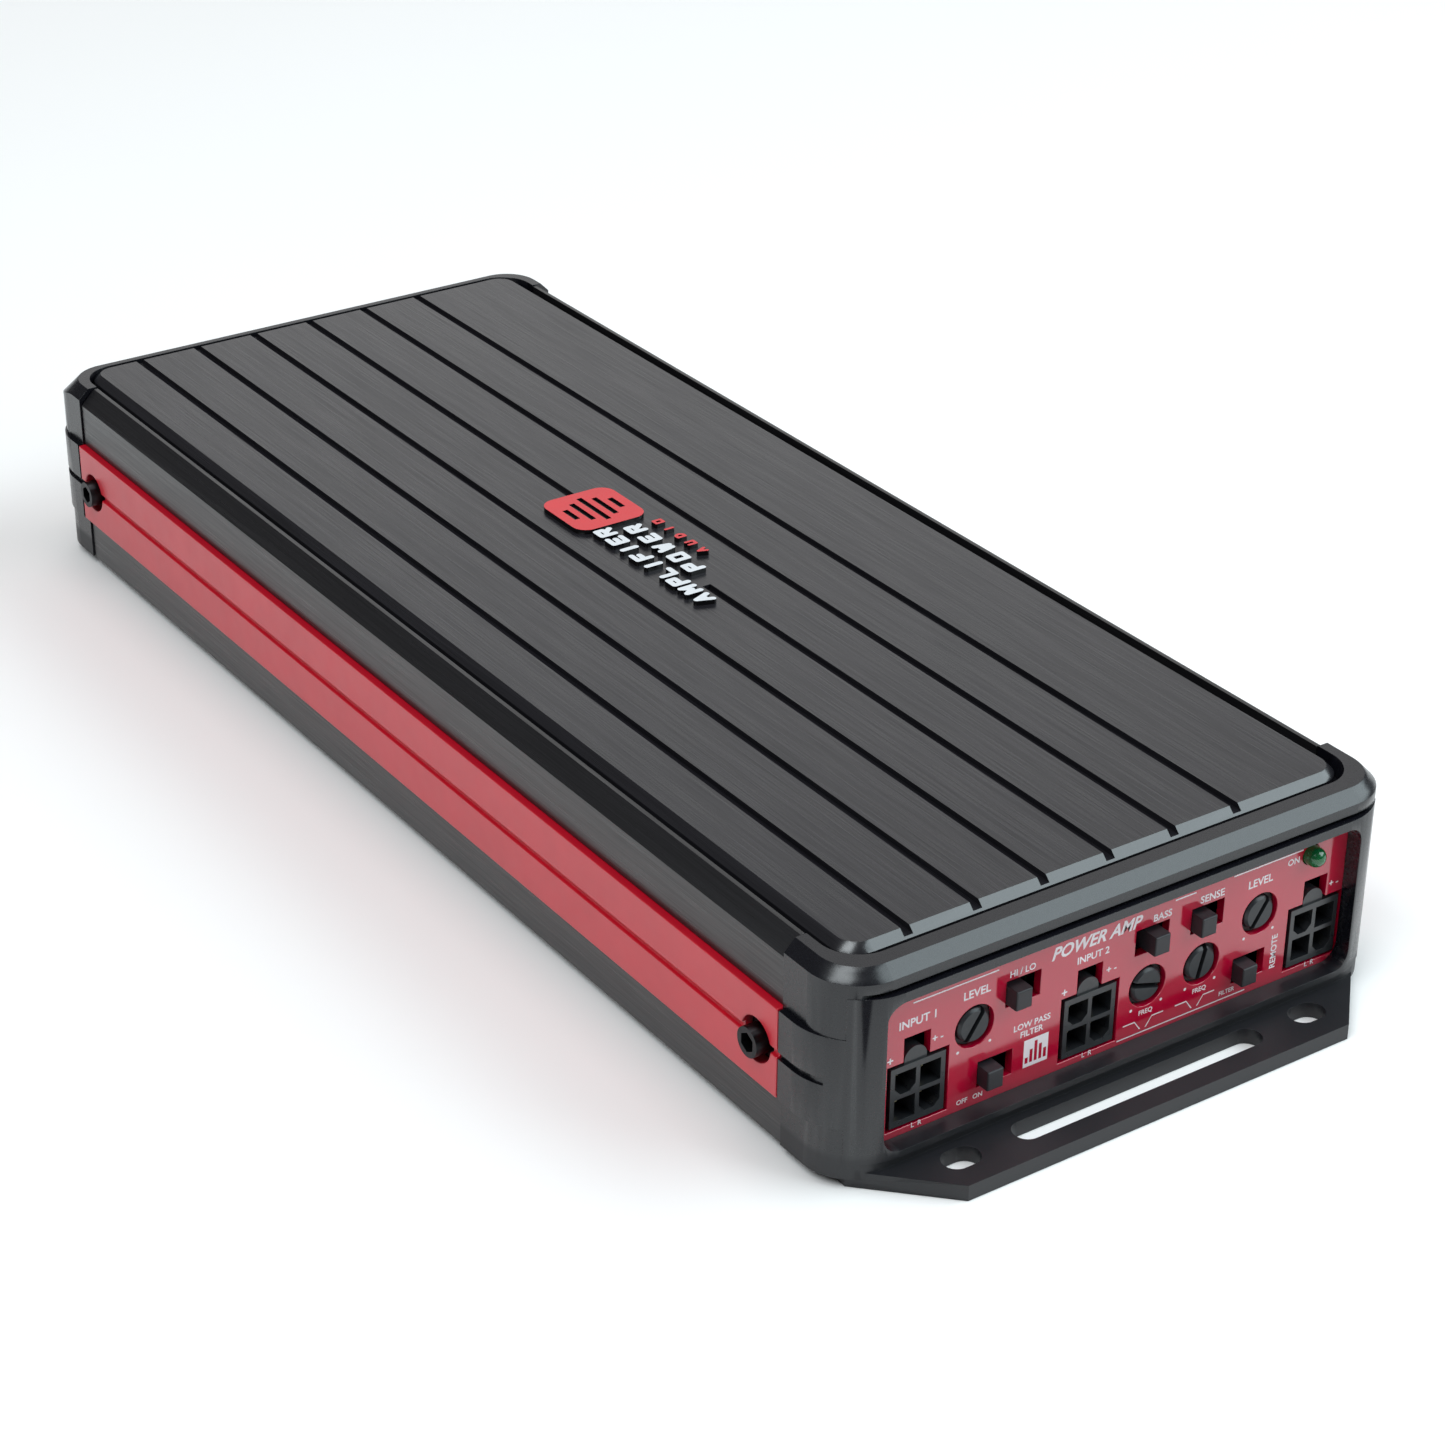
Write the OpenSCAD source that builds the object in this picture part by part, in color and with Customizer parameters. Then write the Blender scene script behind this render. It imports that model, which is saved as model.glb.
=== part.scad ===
// Car amplifier: an extruded aluminium shell with a grooved top plate, two moulded end caps with
// slotted feet, a red control panel in front and a red terminal panel at the rear.
// X is the width, Y the length (controls face -Y), Z is up. The feet stand on z = 0.

/* [Shell] */
// Width of the aluminium shell
body_w = 98; // [96:0.5:104]
// Length of the aluminium shell between the end caps
body_l = 218; // [214:1:240]
// Height of the shell's underside above the feet
body_z = 1.5; // [1:0.1:1.5]
// Height of the two raised rims beside the top plate
rim_z = 34; // [34:0.1:34.4]
// Width of the flat on top of each rim
rim_w = 0.7; // [0.5:0.1:1]
// Size of the bevel between side wall and rim
shell_bevel = 2.6; // [2:0.1:3]
// Thickness of the shell's side walls
wall = 3.6; // [3.2:0.1:3.8]

/* [Top plate] */
// Width of the top plate's upper face
plate_w = 86.3; // [85.5:0.1:86.5]
// Length of the top plate's upper face
plate_l = 231; // [226:0.2:231]
// Thickness of the top plate
plate_t = 3.5; // [3.2:0.1:3.8]
// Bevel around the top plate
plate_bevel = 1.2; // [1:0.1:1.4]
// Plan radius of the top plate's corners
plate_r = 3; // [2:0.5:4]
// Number of grooves in the top plate
groove_count = 6; // [1:1:6]
// Distance from one groove to the next
groove_pitch = 11.57; // [10:0.1:11.6]
// Centre of the first groove
groove_first = -34.2; // [-35:0.1:-34]
// Width of a groove
groove_w = 1.5; // [0.8:0.1:1.6]
// Depth of a groove
groove_d = 0.9; // [0.6:0.1:1.1]

/* [Trim strips] */
// Lower edge of the red strips
trim_z0 = 9.5; // [9:0.1:10]
// Upper edge of the red strips
trim_z1 = 23.8; // [23:0.1:24.2]
// How far the strips stand out from the shell
trim_out = 1.2; // [1:0.1:1.5]
// Depth of the shell's channel that holds a strip
trim_seat = 0.8; // [0.6:0.1:1]
// Width of the strips' centre groove
trim_groove = 1.1; // [0.8:0.1:1.4]

/* [End caps] */
// Distance from the centre to the face of a cap's top ring
ring_y = 122.6; // [122.3:0.1:122.8]
// Distance from the centre to the face of a cap's bezel
bezel_y = 123.3; // [123.1:0.1:123.8]
// Plan radius of the ring's corners
ring_r = 8; // [6:0.5:9]
// Plan radius of the bezel's and side band's corners
band_r = 10.5; // [9:0.5:11]
// Bevel around the ring's top
ring_bevel = 1.8; // [1.5:0.1:2]
// Width of the bezel's opening
opening_w = 84.4; // [83:0.2:85]
// Lower edge of the bezel's opening
opening_z0 = 5; // [4.8:0.1:5.4]
// Upper edge of the bezel's opening
opening_z1 = 28.8; // [28.4:0.1:28.9]
// Depth of the panel behind the bezel's face
panel_depth = 3; // [2.6:0.1:3.2]

/* [Feet] */
// Distance from the centre to the front edge of a foot
foot_y = 131.9; // [131.5:0.1:134]
// Thickness of a foot
foot_t = 2.5; // [2:0.1:3]
// Half width of a foot's front edge
foot_half_w = 34.5; // [34:0.5:36]
// Distance from the centre to the line of slots
slot_y = 126.3; // [126:0.1:126.6]
// Distance from the centre to each screw slot across the width
slot_x = 31.5; // [30:0.1:31.5]
// Width of all the slots
slot_w = 4.3; // [4.2:0.1:4.5]
// Length of a screw slot
slot_l = 6; // [5.5:0.1:6.5]
// Length of the long strap slot
strap_slot_l = 44.6; // [40:0.2:45]

/* [Controls] */
// Distance between the terminals of a socket
socket_pitch = 4.2; // [4:0.05:4.2]
// Diameter of the slotted trimmer shafts
shaft_d = 5.4; // [5:0.1:6]
// Length of a slide switch's window
window_w = 6; // [6:0.1:6.4]
// Height of a slide switch's window
window_h = 4.1; // [4:0.1:4.3]
// How far the slide switches stand out from the panel
lever_out = 2.3; // [1.8:0.1:2.6]

/* [Hidden] */

$fn = 64;
eps = 0.02;
far = 400;

half_w = body_w / 2;
half_l = body_l / 2;
seam = 0.3;
inner_x = half_w - wall;
side_top = rim_z - shell_bevel;
rim_inner_x = half_w - shell_bevel - rim_w;

// Shell roof, and the pocket that the top plate lies in
plate_top = 34.5;
pocket_z = plate_top - plate_t;
roof_z = pocket_z - 3.5;

// Floor: a steel plate under two ledges that also carry the main board
floor_z0 = body_z + 0.5;
floor_t = 1.5;
ledge_z0 = floor_z0 + floor_t + 0.1;
ledge_z1 = 9;
ledge_w = 6;
screw_x = inner_x - 3.2;

// Main board
board_t = 1.6;
board_top = ledge_z1 + board_t;
board_w = 2 * inner_x - 1;
board_l = 2 * half_l - 1;

// Screw sizes: shank, hole and head of the M3 screws used everywhere
screw_r = 1.5;
hole_r = 1.55;
head_r = 2.75;
side_screw_y = 104.4;
side_head_r = 2.3;
trim_mid = (trim_z0 + trim_z1) / 2;
side_screw_z = trim_mid - 0.35;
trim_x = half_w + trim_out;
seat_x = half_w - trim_seat;
head_hole_r = 3.4;
bottom_screw_y = [-95, 0, 95];
board_screw_y = [-70, 70];
plate_screw_at = [30, 92];

// End cap
cap_w = body_w + 0.6;
cap_top = rim_z + 0.2;
cap_wall_x = 45.9;
// Inner edge of the ring's end bar, in front and at the rear
ring_inner_y = 118.3;
rear_inner_y = 117;
ring_inner_r = 6;
rear_bevel = ring_bevel + 2.6;
bezel_half_w = 47;
foot_root_w = 46.3;
bezel_z0 = 4;
bezel_z1 = 30.3;
lip_z = 30.9;
panel_y = bezel_y - panel_depth;
panel_t = 1.5;
cavity_z0 = 3.4;
cavity_z1 = 29.5;
tongue_x = 41.2;
tongue_end = 98;

// Upright boards behind the panels, with the pin headers that join them to the main board
control_y = 112;
control_w = 80;
output_w = 26;
upright_z0 = 4.6;
upright_h = 23.6;
link_pins = 10;
link_pitch = 2.54;
link_y = half_l - 2.2;
pin_w = 0.64;
header_w = 2.5;

// Places of the controls on the panel, as [x, z]
socket_at = [[-34.7, 11.3], [-4.9, 11.3], [37.1, 11.3]];
gain_at = [[-25.3, 18], [26.2, 18]];
filter_at = [[5.6, 13.3], [15.6, 13.3]];
upper_z = 21.1;
lower_z = 9.7;
input_x = -17.1;
low_filter_x = -21.4;
bass_x = 5.8;
sense_x = 16;
high_filter_x = 24.8;
led_at = [35.3, 24.8];

// Slot directions of the trimmer shafts at rest, clockwise from upright
gain_turn = [34, 34];
filter_turn = [-73, 14];

// Slide levers at rest, measured from the middle of their windows
lever_w = 2.7;
lever_left = -1.6;

socket_w = 9.2;
socket_h = 9.6;
socket_y = panel_y;
hub_r = shaft_d / 2 + 0.05;
trimmer_r = 4.3;
trimmer_depth = 4.6;
switch_body_w = 7.6;
switch_body_h = 5.2;
switch_depth = 4;
shaft_clear_r = shaft_d / 2 + 0.65;

// Rear connectors: a three-way screw terminal, a speaker socket and two blade fuses
terminal_x = -22;
terminal_z = 12.6;
terminal_pitch = 9.4;
terminal_count = 3;
terminal_h = 14.6;
entry_w = 6.6;
entry_z = -2.6;
entry_depth = 8;
clamp_depth = 4.4;
speaker_x = 27;
speaker_z = 11.3;
fuse_x = 4.4;
fuse_z = 12.5;
fuse_pitch = 8;
fuse_w = 5.2;
fuse_h = 14;
fuse_seat = 3.4;

// Places of the parts on the main board, as [x, y]
toroid_at = [-14, 52];
toroid_out_r = 19;
toroid_in_r = 8.5;
toroid_h = 12.5;
winding_t = 1.3;
inductor_at = [[-24, -72], [-24, -50], [24, -72], [24, -50]];
capacitor_at = [[16, 78], [30, 78], [16, 62], [30, 62], [16, 46], [30, 46]];
chip_at = [[0, -74], [0, -54], [0, -28], [-14, -4], [10, 6]];

// Transistors stand along both side walls, pressed to the shell by a bar
transistor_y = [-44, -28, -12, 4, 20, 36];
screw_gap_y = 8;
device_w = 10;
device_t = 4.4;
device_h = 14;
device_z = board_top + 0.4;
pad_t = 0.5;
clamp_z = 17.6;
clamp_t = 2;

// Badge: an emblem tile and lines of lettering that read along the plate
badge_h = 0.8;
badge_y0 = -17.5;
badge_y1 = 20;
badge_groove = 3;
emblem_at = [0, 15];
emblem_w = 13.4;
level = [4, 7, 9.4, 7, 4];
letter_w = 2.9;
letter_h = 3.5;
stroke = 1;
// Each line as [text, x, y of its start, letter pitch]
lines = [["AMPLIFIER", -3.3, -24, 3.55], ["POWER", 1.6, -14.2, 4.2]];
small_line = ["AUDIO", 6.2, -9.4, 3.2];
small_scale = 0.55;

// ---------- shared shapes ----------

// Flat rectangle with round corners, centred
module rounded_rect(w, l, r) {
    square([w - 2 * r, l], center = true);
    square([w, l - 2 * r], center = true);
    for (x = [-1, 1], y = [-1, 1])
        translate([x * (w / 2 - r), y * (l / 2 - r)]) circle(r);
}

// Slab with round corners and a 45-degree bevel c around its top edge
module bevelled_slab(w, l, h, r, c) {
    linear_extrude(h - c) rounded_rect(w, l, r);
    translate([0, 0, h - c]) {
        rotate([90, 0, 0]) linear_extrude(l - 2 * r, center = true) bevel_section(w, c);
        rotate([90, 0, 90]) linear_extrude(w - 2 * r, center = true) bevel_section(l, c);
        for (x = [-1, 1], y = [-1, 1])
            translate([x * (w / 2 - r), y * (l / 2 - r), 0]) cylinder(h = c, r1 = r, r2 = r - c);
    }
}

module bevel_section(w, c) {
    polygon([[-w / 2, 0], [w / 2, 0], [w / 2 - c, c], [c - w / 2, c]]);
}

// Box centred in X and Y that stands on z = 0
module block(size) {
    translate([-size[0] / 2, -size[1] / 2, 0]) cube(size);
}

// A flat shape drawn in X and Z, given depth from y0 to y1
module along_y(y0, y1) {
    translate([0, y1, 0]) rotate([90, 0, 0]) linear_extrude(y1 - y0) children();
}

module round_slot(l, w) {
    square([l - w, w], center = true);
    for (s = [-1, 1]) translate([s * (l - w) / 2, 0]) circle(w / 2);
}

// Both the part drawn and its copy on the other side of X = 0
module both_sides() {
    children();
    mirror([1, 0, 0]) children();
}

module both_ends() {
    children();
    mirror([0, 1, 0]) children();
}

module four_corners(x, y) {
    for (sx = [-1, 1], sy = [-1, 1]) translate([sx * x, sy * y, 0]) children();
}

// Upright countersunk or pan screw: the head's top is at z = 0 and the shank hangs down
module pan_screw(length, head = 2.6, head_h = 1.8) {
    difference() {
        union() {
            translate([0, 0, -head_h]) cylinder(h = head_h - 0.5, r = head);
            translate([0, 0, -0.5]) cylinder(h = 0.5, r1 = head, r2 = head - 0.5);
        }
        for (a = [0, 90]) rotate([0, 0, a]) translate([0, 0, -1]) block([2.6, 0.6, 2]);
    }
    translate([0, 0, -head_h - length]) cylinder(h = length + eps, r = screw_r);
}

module flat_screw(length) {
    difference() {
        translate([0, 0, -1.3]) cylinder(h = 1.3, r1 = screw_r, r2 = head_r);
        for (a = [0, 90]) rotate([0, 0, a]) translate([0, 0, -0.8]) block([2.8, 0.6, 2]);
    }
    translate([0, 0, -length]) cylinder(h = length - 1.3 + eps, r = screw_r);
}

// ---------- shell ----------

module shell_section() {
    difference() {
        polygon([
            [-half_w, body_z], [half_w, body_z], [half_w, side_top],
            [half_w - shell_bevel, rim_z], [rim_inner_x, rim_z], [rim_inner_x, pocket_z],
            [-rim_inner_x, pocket_z], [-rim_inner_x, rim_z], [shell_bevel - half_w, rim_z],
            [-half_w, side_top]
        ]);
        // inside of the channel, open below
        translate([-inner_x, -1]) square([2 * inner_x, roof_z + 1]);
        for (s = [-1, 1])
            translate([s * half_w, trim_mid])
                square([2 * trim_seat, trim_z1 - trim_z0 + 0.2], center = true);
    }
    for (s = [-1, 1])
        translate([s * (inner_x - ledge_w / 2 + eps), (ledge_z0 + ledge_z1) / 2])
            square([ledge_w, ledge_z1 - ledge_z0], center = true);
}

module heatsink() {
    color("#26282b") difference() {
        along_y(-half_l, half_l) shell_section();
        // clearance for the side screws
        for (y = [-side_screw_y, side_screw_y])
            translate([0, y, side_screw_z]) rotate([0, 90, 0]) cylinder(h = far, r = hole_r, center = true);
        // threads for the floor plate and the main board
        both_sides() {
            for (y = bottom_screw_y) translate([screw_x, y, 0]) cylinder(h = ledge_z1 - 1.5, r = hole_r);
            for (y = board_screw_y)
                translate([screw_x, y, ledge_z0 + 1]) cylinder(h = ledge_z1, r = hole_r);
        }
        // clearance for the screws that hold the top plate, countersunk from inside
        four_corners(plate_screw_at[0], plate_screw_at[1]) {
            translate([0, 0, roof_z - 1]) cylinder(h = far, r = hole_r);
            translate([0, 0, roof_z - eps]) cylinder(h = 1.3, r1 = head_r + 0.05, r2 = hole_r);
        }
        // threads for the transistor clamps
        for (y = clamp_screw_y()) {
            translate([0, y, clamp_z]) rotate([0, 90, 0])
                cylinder(h = 2 * (inner_x + 2), r = hole_r, center = true);
        }
    }
}

// ---------- top plate ----------

module top_plate() {
    color("#3a3b3d") difference() {
        translate([0, 0, pocket_z])
            bevelled_slab(plate_w + 2 * plate_bevel, plate_l + 2 * plate_bevel, plate_t,
                plate_r + plate_bevel, plate_bevel);
        difference() {
            for (i = [0:groove_count - 1])
                translate([groove_first + i * groove_pitch, 0, plate_top - groove_d])
                    block([groove_w, far, plate_t]);
            // one groove stops short on both sides of the badge
            translate([groove_first + badge_groove * groove_pitch - groove_w, badge_y0, 0])
                cube([2 * groove_w, badge_y1 - badge_y0, far]);
        }
        four_corners(plate_screw_at[0], plate_screw_at[1])
            translate([0, 0, pocket_z - 1]) cylinder(h = 3, r = hole_r);
    }
}

module plate_screws() {
    color("silver") four_corners(plate_screw_at[0], plate_screw_at[1])
        translate([0, 0, roof_z]) mirror([0, 0, 1]) flat_screw(5.2);
}

// ---------- trim strips ----------

module trim_strip() {
    difference() {
        translate([seat_x, -half_l - 0.3, trim_z0])
            cube([trim_x - seat_x, 2 * half_l + 0.6, trim_z1 - trim_z0]);
        translate([trim_x, 0, trim_mid - trim_groove / 2]) block([1.2, far, trim_groove]);
        for (y = [-side_screw_y, side_screw_y])
            translate([0, y, side_screw_z]) rotate([0, 90, 0]) cylinder(h = far, r = head_hole_r);
    }
}

module trim_left() {
    color("#c22230") mirror([1, 0, 0]) trim_strip();
}

module trim_right() {
    color("#c22230") trim_strip();
}

// Socket-head screws: each passes a trim strip and the shell and holds an end cap
module side_screws() {
    color("#1b1b1d") both_sides() both_ends()
        translate([seat_x, -side_screw_y, side_screw_z]) rotate([0, 90, 0]) {
            difference() {
                cylinder(h = 3.4, r = side_head_r);
                translate([0, 0, 1.5]) cylinder(h = 3, r = 1.55, $fn = 6);
            }
            translate([0, 0, tongue_x + 0.6 - seat_x])
                cylinder(h = seat_x - tongue_x - 0.6 + eps, r = screw_r);
        }
}

// ---------- end caps ----------

// The half-space beyond the shell's end, on the -Y side
module beyond_end(gap = seam) {
    translate([-far / 2, -far, -1]) cube([far, far - half_l - gap, far]);
}

module band_outline(inset = 0) {
    rounded_rect(2 * trim_x - 2 * inset, 2 * bezel_y - 2 * inset, band_r - inset);
}

module cap_band() {
    intersection() {
        difference() {
            translate([0, 0, trim_z0]) linear_extrude(trim_z1 - trim_z0) band_outline();
            // the strips' centre groove runs on to where the side starts to curve
            difference() {
                translate([-far / 2, -half_l - 9, trim_mid - trim_groove / 2])
                    cube([far, 20, trim_groove]);
                translate([0, 0, 1]) linear_extrude(far) band_outline(0.6);
            }
        }
        beyond_end(0.35 + seam);
    }
}

module cap_bezel() {
    intersection() {
        translate([0, 0, bezel_z0]) linear_extrude(bezel_z1 - bezel_z0) band_outline();
        translate([-bezel_half_w, -bezel_y - 1, 0]) cube([2 * bezel_half_w, 12, far]);
    }
}

module foot_plate() {
    reach = foot_root_w - foot_half_w;
    translate([0, -foot_y, 0]) linear_extrude(foot_t)
        polygon([
            [-foot_half_w, 0], [foot_half_w, 0], [foot_root_w, reach], [foot_root_w, reach + 8],
            [-foot_root_w, reach + 8], [-foot_root_w, reach]
        ]);
}

module foot_slots() {
    for (x = [-slot_x, slot_x])
        translate([x, -slot_y, -1]) linear_extrude(foot_t + 2) round_slot(slot_l, slot_w);
    translate([0, -slot_y, -1]) linear_extrude(foot_t + 2) round_slot(strap_slot_l, slot_w);
}

module opening() {
    mid_z = (opening_z0 + opening_z1) / 2;
    translate([0, 0, mid_z]) along_y(-bezel_y - 1, -panel_y + 1)
        rounded_rect(opening_w, opening_z1 - opening_z0, 2.8);
}

// Shadow gap between the ring's lip and the top of the bezel
module lip_gap() {
    translate([0, -ring_y, bezel_z1 - eps]) linear_extrude(lip_z - bezel_z1)
        square([2 * bezel_half_w - 1, 2.4], center = true);
}

module cap_cavity() {
    hollow_l = panel_y - tongue_end + 2;
    translate([-cap_wall_x, -panel_y, cavity_z0])
        cube([2 * cap_wall_x, hollow_l, cavity_z1 - cavity_z0]);
}

// Tongues that reach into the shell and take the side screws
module cap_tongues() {
    both_sides() difference() {
        union() {
            translate([tongue_x, -half_l - 3, 11.2]) cube([inner_x - 0.2 - tongue_x, 14, 11.6]);
            translate([tongue_x, -half_l - 3, 11.2]) cube([5, 3 - seam, 11.6]);
        }
        translate([0, -side_screw_y, side_screw_z]) rotate([0, 90, 0]) cylinder(h = far, r = hole_r);
    }
}

// Ribs that clamp the panel against the back of the bezel
module panel_ribs() {
    both_sides() translate([44.2, -panel_y + panel_t + 0.1, 6]) cube([2.2, 1.4, 21]);
}

// Outer body of a cap: its top edge has end_bevel along the end and ring_bevel along the sides
module cap_body(end_bevel) {
    more = end_bevel - ring_bevel;
    intersection() {
        translate([0, 0, body_z]) linear_extrude(far) rounded_rect(cap_w, 2 * ring_y, ring_r);
        translate([0, 0, body_z])
            bevelled_slab(cap_w + 2 * more, 2 * ring_y, cap_top - body_z, ring_r + more, end_bevel);
        beyond_end();
    }
}

module end_cap(end_bevel, inner_y, has_lip) {
    difference() {
        union() {
            cap_body(end_bevel);
            cap_band();
            cap_bezel();
            foot_plate();
        }
        cap_cavity();
        opening();
        if (has_lip) lip_gap();
        foot_slots();
        // pocket for the end of the top plate
        translate([0, 0, pocket_z])
            linear_extrude(far) rounded_rect(2 * rim_inner_x, 2 * inner_y, ring_inner_r);
    }
    cap_tongues();
    panel_ribs();
}

module front_cap() {
    color("#232326") end_cap(ring_bevel, ring_inner_y, true);
}

// The rear cap's ring slopes back further, with no lip over the bezel
module rear_cap() {
    color("#232326") mirror([0, 1, 0]) end_cap(rear_bevel, rear_inner_y, false);
}

// ---------- panels ----------

// Blank panel on the -Y side, drawn flat in X and Z
module panel_blank() {
    translate([-cap_wall_x + 0.5, cavity_z0 + 0.1])
        square([2 * cap_wall_x - 1, cavity_z1 - cavity_z0 - 0.3]);
}

module socket_cutout() {
    square([socket_w + 1.2, socket_h + 1], center = true);
    translate([-0.3, socket_h / 2 + 1.8]) square([4.4, 5], center = true);
}

module front_panel() {
    color("#d0202c") along_y(-panel_y + 0.02, -panel_y + panel_t) difference() {
        panel_blank();
        for (p = socket_at) translate(p) socket_cutout();
        for (p = concat(gain_at, filter_at)) translate(p) circle(shaft_clear_r);
        for (x = [input_x, bass_x, sense_x]) translate([x, upper_z])
            square([window_w, window_h], center = true);
        for (x = [low_filter_x, high_filter_x]) translate([x, lower_z])
            square([window_w, window_h], center = true);
        translate(led_at) circle(1.65);
    }
}

module rear_panel() {
    color("#d0202c") mirror([0, 1, 0]) along_y(-panel_y + 0.02, -panel_y + panel_t) difference() {
        panel_blank();
        translate([terminal_x, terminal_z]) square([3 * terminal_pitch + 0.8, 15.2], center = true);
        translate([speaker_x, speaker_z]) {
            square([4 * socket_pitch + 1.4, socket_h + 0.6], center = true);
            translate([-0.3, socket_h / 2 + 1.8]) square([4.4, 5], center = true);
        }
        translate([fuse_x, fuse_z]) square([2 * fuse_pitch + 0.6, 16], center = true);
    }
}

// ---------- floor and boards ----------

module bottom_plate() {
    color("#2a2a2c") difference() {
        translate([0, 0, floor_z0]) block([2 * inner_x - 0.3, 2 * half_l - 0.4, floor_t]);
        both_sides() for (y = bottom_screw_y) translate([screw_x, y, floor_z0]) {
            translate([0, 0, -1]) cylinder(h = 5, r = hole_r);
            translate([0, 0, -eps]) cylinder(h = 1.3, r1 = head_r + 0.05, r2 = hole_r);
        }
        // vent slots under the power supply
        for (i = [-4:4]) translate([i * 7, 60, 0]) linear_extrude(10) rotate(90) round_slot(26, 2.4);
    }
}

module bottom_screws() {
    color("silver") both_sides() for (y = bottom_screw_y)
        translate([screw_x, y, floor_z0]) mirror([0, 0, 1]) flat_screw(5);
}

module main_board() {
    color("#14402a") translate([0, 0, ledge_z1]) difference() {
        block([board_w, board_l, board_t]);
        both_sides() for (y = board_screw_y) translate([screw_x, y, -1]) cylinder(h = 5, r = hole_r + 0.1);
    }
}

module board_screws() {
    color("silver") both_sides() for (y = board_screw_y)
        translate([screw_x, y, board_top + 1.8]) pan_screw(4.6);
}

// Board that stands across the front, carrying the controls on its -Y face
module upright_board(x, w) {
    translate([x, -control_y + board_t / 2, upright_z0]) block([w, board_t, upright_h]);
}

module control_board() {
    color("#14402a") upright_board(0, control_w);
}

module output_board() {
    color("#14402a") mirror([0, 1, 0]) upright_board(speaker_x, output_w);
}

function link_x(i) = (i - (link_pins - 1) / 2) * link_pitch;

// Pin header at the end of the main board, with pins that run to the upright board
module pin_header() {
    pin_l = control_y - board_t - link_y - header_w / 2 + eps;
    difference() {
        block([link_pins * link_pitch, header_w, header_w]);
        for (i = [0:link_pins - 2])
            translate([link_x(i) + link_pitch / 2, 0, 2]) block([0.5, 3, 1]);
    }
    for (i = [0:link_pins - 1])
        translate([link_x(i) - pin_w / 2, -header_w / 2 + eps - pin_l, 1]) cube([pin_w, pin_l, pin_w]);
}

module board_links() {
    color("#1b1b1d") {
        translate([0, -link_y, board_top]) pin_header();
        mirror([0, 1, 0]) translate([speaker_x, -link_y, board_top]) pin_header();
    }
}

// ---------- input sockets ----------

// One terminal cell, with the keying chamfers of this socket family
module socket_cell(keyed) {
    c = keyed ? 1 : 0.01;
    h = 1.75;
    polygon([[-h, -h + c], [-h + c, -h], [h - c, -h], [h, -h + c], [h, h], [-h, h]]);
}

module socket_housing(columns) {
    w = columns * socket_pitch + 0.8;
    difference() {
        union() {
            along_y(-socket_y, -control_y) square([w, socket_h], center = true);
            // domed catch for the plug's latch
            translate([-0.3, 0, socket_h / 2]) along_y(-socket_y + 0.3, -control_y - 1) {
                translate([0, 0.1]) square([3.8, 0.6], center = true);
                intersection() {
                    translate([0, 0.4]) circle(1.9);
                    translate([0, 1.4]) square([4, 2], center = true);
                }
            }
        }
        for (i = [0:columns - 1], row = [-1, 1])
            translate([(i - (columns - 1) / 2) * socket_pitch, 0, row * socket_pitch / 2])
                along_y(-socket_y - 1, -control_y - 1.4) socket_cell((i + (row + 1) / 2) % 2 == 1);
    }
}

module socket_at_place(i) {
    color("#1c1c1e") translate([socket_at[i][0], 0, socket_at[i][1]]) socket_housing(2);
}

module input_socket_1() {
    socket_at_place(0);
}

module input_socket_2() {
    socket_at_place(1);
}

module input_socket_3() {
    socket_at_place(2);
}

// Square contact pins standing in the cells
module contact_pins(columns) {
    for (i = [0:columns - 1], row = [-1, 1])
        translate([(i - (columns - 1) / 2) * socket_pitch, -control_y - 1.4, row * socket_pitch / 2])
            rotate([90, 0, 0]) linear_extrude(4.6) square(1, center = true);
}

module input_pins() {
    color("gold") for (p = socket_at) translate([p[0], 0, p[1]]) contact_pins(2);
}

// ---------- trimmers ----------

module trimmer(p) {
    translate([p[0], -control_y, p[1]]) rotate([90, 0, 0]) difference() {
        union() {
            cylinder(h = trimmer_depth, r = trimmer_r);
            cylinder(h = panel_y - control_y - 1.1, r = shaft_clear_r - 0.06);
            block([2 * trimmer_r - 1, 2 * trimmer_r - 0.4, 2]);
        }
        translate([0, 0, 1]) cylinder(h = far, r = hub_r);
    }
}

module trimmer_shaft(p, turn) {
    length = panel_y - control_y - 1.1;
    translate([p[0], -control_y - 1.1, p[1]]) rotate([90, 0, 0]) difference() {
        cylinder(h = length - 0.4, r = shaft_d / 2);
        rotate([0, 0, 90 - turn]) translate([0, 0, length - 1.7]) block([far, 0.8, 4]);
    }
    translate([p[0], -panel_y + 0.4, p[1]]) rotate([90, 0, 0]) difference() {
        cylinder(h = 0.4, r1 = shaft_d / 2, r2 = shaft_d / 2 - 0.4);
        rotate([0, 0, 90 - turn]) translate([0, 0, -1]) block([far, 0.8, 4]);
    }
}

module gain_trimmer_1() {
    color("#202022") trimmer(gain_at[0]);
}

module gain_trimmer_2() {
    color("#202022") trimmer(gain_at[1]);
}

module filter_trimmer_1() {
    color("#202022") trimmer(filter_at[0]);
}

module filter_trimmer_2() {
    color("#202022") trimmer(filter_at[1]);
}

module gain_shaft_1() {
    color("#3b3c3f") trimmer_shaft(gain_at[0], gain_turn[0]);
}

module gain_shaft_2() {
    color("#3b3c3f") trimmer_shaft(gain_at[1], gain_turn[1]);
}

module filter_shaft_1() {
    color("#3b3c3f") trimmer_shaft(filter_at[0], filter_turn[0]);
}

module filter_shaft_2() {
    color("#3b3c3f") trimmer_shaft(filter_at[1], filter_turn[1]);
}

// ---------- slide switches ----------

module slide_switch(x, z) {
    translate([x, 0, z]) along_y(-control_y - switch_depth, -control_y) difference() {
        square([switch_body_w, switch_body_h], center = true);
        square([window_w, 3.6], center = true);
    }
    translate([x, 0, z]) along_y(-control_y - 0.8, -control_y)
        square([window_w + 0.2, 3.8], center = true);
}

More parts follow.
